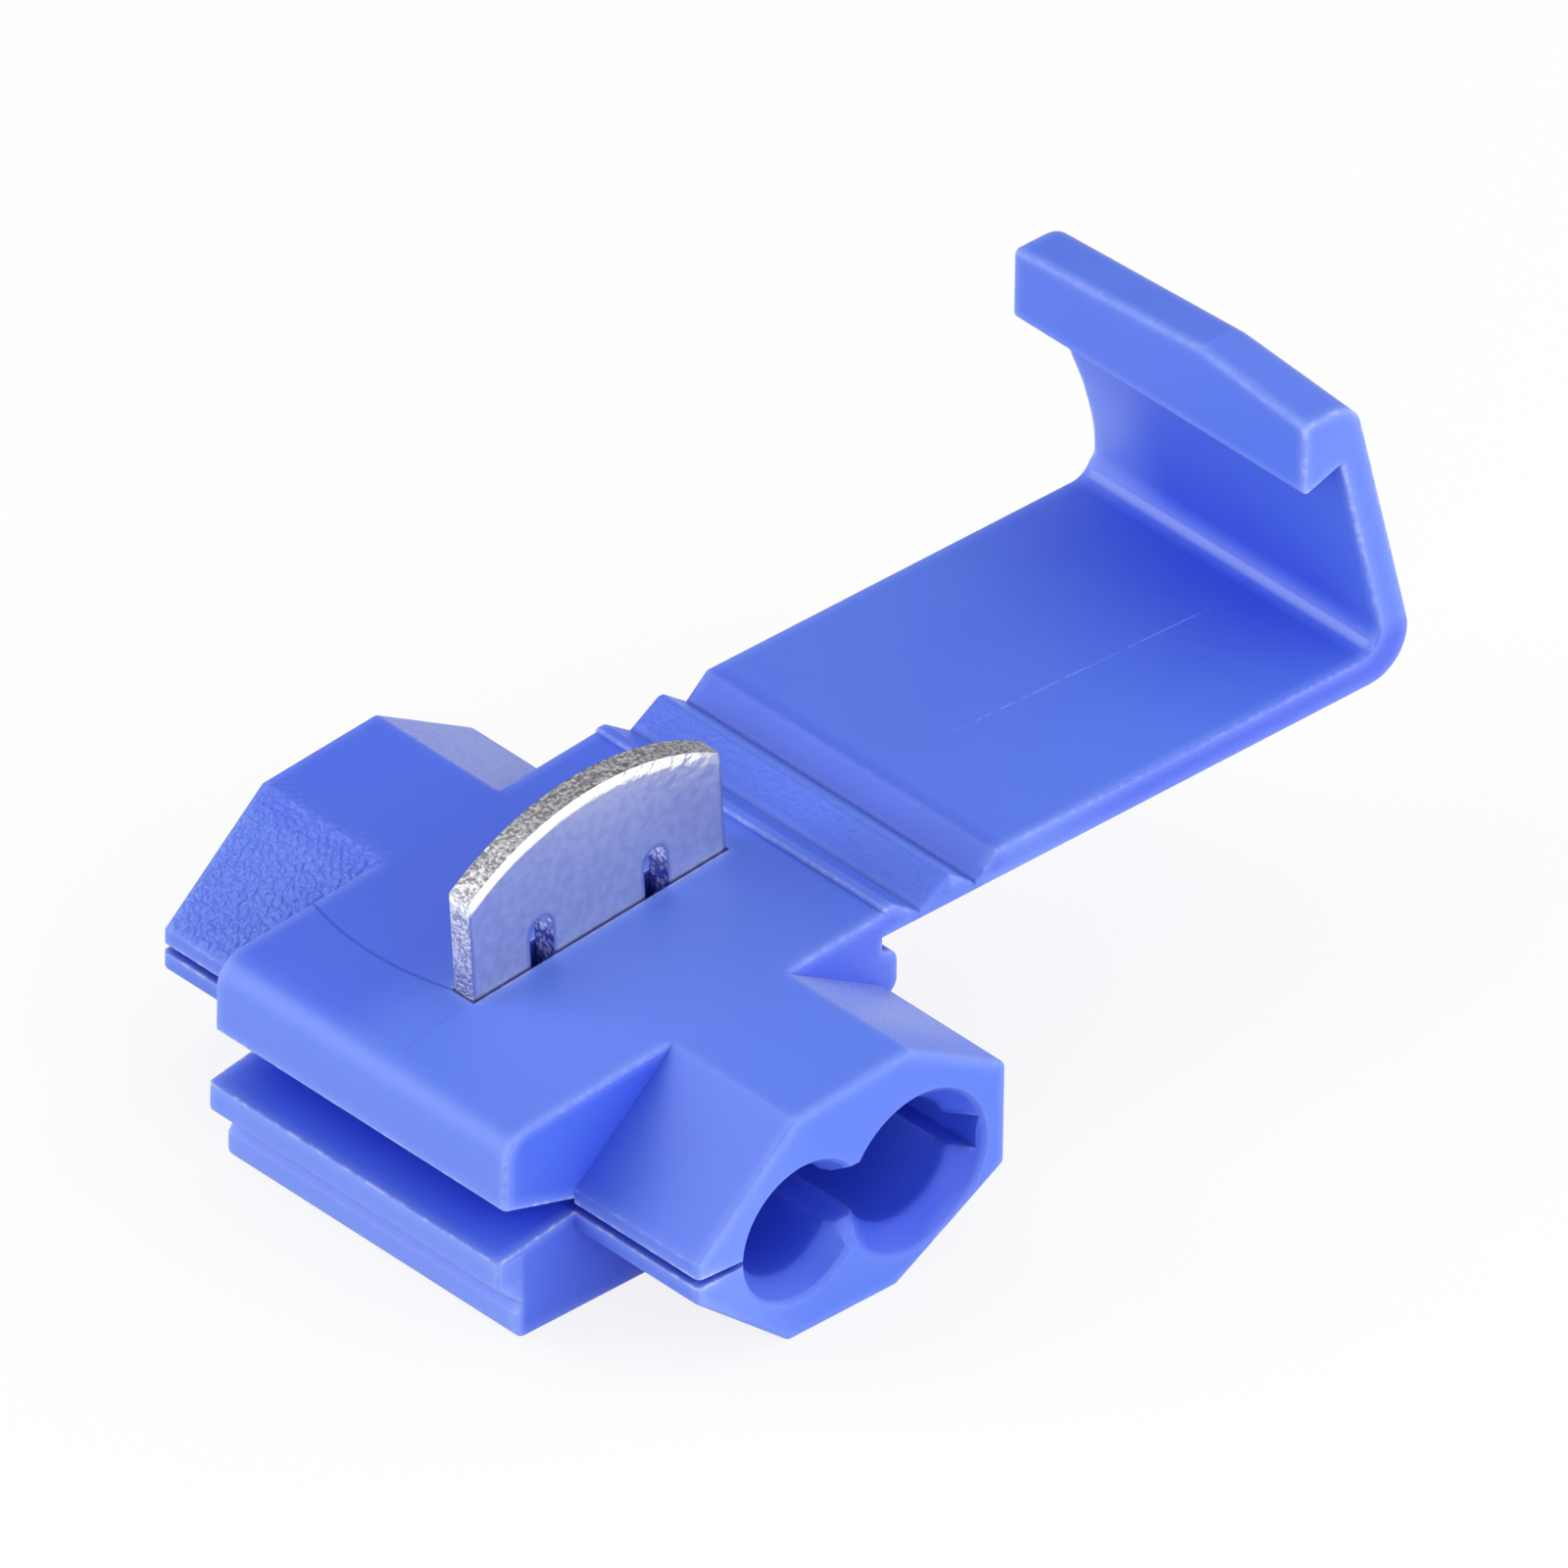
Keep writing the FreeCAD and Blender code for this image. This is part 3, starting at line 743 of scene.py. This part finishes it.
def stamped_group():
    """Cut edges, slots, dents and the rolled edge of the sheet, as numbers and heights."""
    told = ("Cut", "End", "Slot", "Foot", "Rim", "Roll Height", "Dents", "Specks", "Glint Dots", "Blobs")
    tree, given, result = new_group("stamped_sheet", [("Place", "vector"), ("Facing", "vector")],
                                    [(title, "number") for title in told])
    place = given["Place"]
    x, y, z = split(tree, place)
    facing_x, facing_y, _ = split(tree, given["Facing"])
    z = maths(tree, "SUBTRACT", z, DECK_HEIGHT)
    along = total(tree, maths(tree, "MULTIPLY", y, math.cos(DECK_TILT)),
                  maths(tree, "MULTIPLY", z, math.sin(DECK_TILT)))
    rise = maths(tree, "SUBTRACT", maths(tree, "MULTIPLY", z, math.cos(DECK_TILT)),
                 maths(tree, "MULTIPLY", y, math.sin(DECK_TILT)))
    from_middle = maths(tree, "ABSOLUTE", along)
    from_centre = maths(tree, "ADD", rise, DOME_DROP)
    radius = maths(tree, "SQRT", total(tree, product(tree, along, along),
                                       product(tree, from_centre, from_centre)))
    below_dome = maths(tree, "SUBTRACT", DOME_RADIUS, radius)
    cut = soft_step(tree, maths(tree, "ABSOLUTE", facing_x), 0.6, 0.4)
    front = soft_step(tree, facing_x, -0.6, -0.4)
    put(result["Cut"], cut)
    put(result["End"], product(tree, soft_step(tree, facing_y, -0.4, -0.8),
                               soft_step(tree, along, -5.1, -5.2)))
    put(result["Slot"], product(tree, cut, soft_step(tree, from_middle, 5.2, 5.1),
                                soft_step(tree, rise, 2.2, 1.9)))
    put(result["Foot"], soft_step(tree, rise, 1.5, 0.5))
    put(result["Rim"], largest(tree, soft_step(tree, rise, 2.4, 1.9),
                               soft_step(tree, from_middle, 5.25, 5.35)))
    ragged = product(tree, maths(tree, "SUBTRACT", noise(tree, place, 2.5, 3.0), 0.5),
                     soft_step(tree, along, -2.0, 3.0, 0.12, 0.5))
    roll = soft_step(tree, maths(tree, "ADD", below_dome, ragged), -0.3, 0.5, -0.35, 0.0)
    put(result["Roll Height"], product(tree, roll, front, soft_step(tree, along, 5.4, 2.4, 0.15, 1.0)))
    dented = product(tree, front, soft_step(tree, along, 0.0, 3.5), soft_step(tree, below_dome, 2.2, 0.6))
    put(result["Dents"], product(tree, noise(tree, place, 2.4, 2.0), dented))
    put(result["Specks"], noise(tree, place, 7.0, 2.0))
    # Round dots for the painted glints on the slot walls.
    put(result["Glint Dots"], soft_step(tree, pebbles(tree, place, 5.5), 0.62, 0.36))
    put(result["Blobs"], product(tree, soft_step(tree, noise(tree, place, 3.6, 2.0), 0.52, 0.60),
                                 soft_step(tree, along, -1.5, -4.5)))
    return tree


stamped = stamped_group()
print("group", stamped.name)

# %% [markdown]
# ## Tin
# Tin is a bright metal, a little dull and mottled on the rolled face. The torn edges are speckled grey, with
# bright blobs at one end, and the end face gets painted shade towards its foot. The smooth faces get a
# painted shadow line in blue along their edges. A plain metal on the walls of the slots comes out black, so
# they get a painted reflection of the blue plastic round them, going to painted shade at the foot, dotted
# with painted white glints.

# %% Mix the tinned metal
TIN_DARK = (0.75, 0.745, 0.76, 1.0)
TIN_LIGHT = (0.88, 0.87, 0.85, 1.0)
RIM_SHADOW_BLUE = (0.22, 0.26, 0.58, 1.0)
TORN_DARK = (0.24, 0.235, 0.255, 1.0)
TORN_LIGHT = (0.52, 0.51, 0.53, 1.0)
BLOB_WHITE = (0.92, 0.92, 0.93, 1.0)
END_DARK = (0.40, 0.42, 0.56, 1.0)
END_LIGHT = (0.82, 0.83, 0.92, 1.0)
END_FOOT_SHADE = (0.26, 0.29, 0.52, 1.0)
SLOT_REFLECTION_BLUE = (0.34, 0.41, 0.90, 1.0)
SLOT_SHADE_NAVY = (0.02, 0.035, 0.32, 1.0)
GLINT_WHITE = (1.0, 1.0, 1.0, 1.0)


def torn_colour(tree, sheet, specks):
    """The colour of everything that the punch cut: the top, the end with painted shade at its foot, and the
    slots with their painted reflection, shade and glints.
    """
    top = blend_colour(tree, specks, TORN_DARK, TORN_LIGHT)
    top = blend_colour(tree, product(tree, sheet["Blobs"], 0.6), top, BLOB_WHITE)
    end = blend_colour(tree, specks, END_DARK, END_LIGHT)
    # Painted shade towards the foot of the end face.
    end = blend_colour(tree, product(tree, sheet["Foot"], 0.45), end, END_FOOT_SHADE)
    above_foot = maths(tree, "SUBTRACT", 1.0, product(tree, sheet["Foot"], 0.85))
    # A painted reflection of the blue plastic on the slot walls, painted shade at their foot, and painted
    # white glints.
    slot = blend_colour(tree, sheet["Foot"], SLOT_REFLECTION_BLUE, SLOT_SHADE_NAVY)
    slot = blend_colour(tree, product(tree, sheet["Glint Dots"], above_foot), slot, GLINT_WHITE)
    torn = blend_colour(tree, sheet["End"], top, end)
    return blend_colour(tree, sheet["Slot"], torn, slot)


def tinned_metal():
    """Bright tin over stamped sheet."""
    material, tree, shader = new_material("tinned_metal")
    place = place_in_mm(tree)
    sheet = use_group(tree, stamped, Place=place, Facing=node(tree, "TexCoord").outputs["Normal"])
    look = use_group(tree, edges, Edge_Reach=0.2 * MM, Recess_Reach=2.0 * MM, Round=0.05 * MM)
    specks = soft_step(tree, sheet["Specks"], 0.38, 0.62)
    mottled = soft_step(tree, noise(tree, place, 2.6, 5.0), 0.32, 0.68)
    smooth = blend_colour(tree, mottled, TIN_DARK, TIN_LIGHT)
    # A painted shadow line in blue along the edges of the smooth faces.
    smooth = blend_colour(tree, product(tree, look["Edge"], sheet["Rim"], 1.6), smooth, RIM_SHADOW_BLUE)
    torn = torn_colour(tree, sheet, specks)
    put(shader.inputs["Base Color"], blend_colour(tree, sheet["Cut"], smooth, torn))
    put(shader.inputs["Roughness"], total(tree, 0.36, product(tree, sheet["Cut"], 0.2)))
    put(shader.inputs["Metallic"], maths(tree, "SUBTRACT", 1.0, product(tree, sheet["Slot"], 0.9)))
    normal = look["Normal"]
    tears = product(tree, specks, sheet["Cut"])
    for height, depth in ((sheet["Roll Height"], 1.0), (sheet["Dents"], 0.032), (tears, 0.02)):
        bump = node(tree, "Bump", Strength=1.0, Distance=depth * MM, Height=height, Normal=normal)
        normal = bump.outputs["Normal"]
    put(shader.inputs["Normal"], normal)
    return material


metal = tinned_metal()
print("material", metal.name)

# %% [markdown]
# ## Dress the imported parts
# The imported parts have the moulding's true shape already, with its rounds and funnels, so none is replaced.
# Each only gets its finish: tin on the blade, plastic on the rest.

# %% Put the finishes on
for name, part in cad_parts.items():
    part.data.materials.clear()
    part.data.materials.append(metal if name == "contact_blade" else plastic)
print("finishes on", sorted(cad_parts))

# %% [markdown]
# ## The bending webs
# The cover swings on two thin webs, one on each side of a ridge. When the cover folds over, the rigid parts
# turn about the top of each web and the underside opens. Each web gets a closed strip of its own, which
# fills it from just inside the moulding's own faces, in even rows across the hinge line.

# %% Outline of a web
WEB_REACH = 0.3
WEB_INSET = 0.004
WEB_CORNER = 0.12
CORNER_STEPS = 4


def web_outline():
    """The web's rounded cross-section along its length, as X and Z in millimetres."""
    half = BLOCK_END - WEB_INSET
    low, high = WEB_LOW + WEB_INSET, WEB_HIGH - WEB_INSET
    corners = [(half, low, -90), (half, high, 0), (-half, high, 90), (-half, low, 180)]
    points = []
    for x, z, start in corners:
        centre_x = x - math.copysign(WEB_CORNER, x)
        centre_z = z + (WEB_CORNER if z == low else -WEB_CORNER)
        for step in range(CORNER_STEPS + 1):
            angle = math.radians(start + 90 * step / CORNER_STEPS)
            points.append((centre_x + WEB_CORNER * math.cos(angle), centre_z + WEB_CORNER * math.sin(angle)))
    return points


print("web outline", len(web_outline()), "points")

# %% Make the two webs
HINGE_LINES = (("front_web", FRONT_HINGE, "housing", "strap"), ("back_web", BACK_HINGE, "strap", "cover"))


def web_strip(name, y_middle, body_a, body_b, rows=16):
    """A closed strip across a hinge line, from one body to the next."""
    outline = web_outline()
    count = len(outline)
    points = []
    for row in range(rows + 1):
        y = y_middle - WEB_REACH + 2 * WEB_REACH * row / rows
        points += [(x * MM, y * MM, z * MM) for x, z in outline]
    faces = [tuple(reversed(range(count))), tuple(rows * count + i for i in range(count))]
    for row in range(rows):
        for i in range(count):
            a, b = row * count + i, row * count + (i + 1) % count
            faces.append((a, b, b + count, a + count))
    mesh = bpy.data.meshes.new(name)
    mesh.from_pydata(points, [], faces)
    bm = bmesh.new()
    bm.from_mesh(mesh)
    bmesh.ops.recalc_face_normals(bm, faces=bm.faces)
    bm.to_mesh(mesh)
    bm.free()
    mesh.shade_smooth()
    strip = bpy.data.objects.new(name, mesh)
    scene.collection.objects.link(strip)
    mesh.materials.append(plastic)
    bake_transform(strip)
    return strip


webs = [web_strip(*line) for line in HINGE_LINES]
print("webs", [web.name for web in webs])
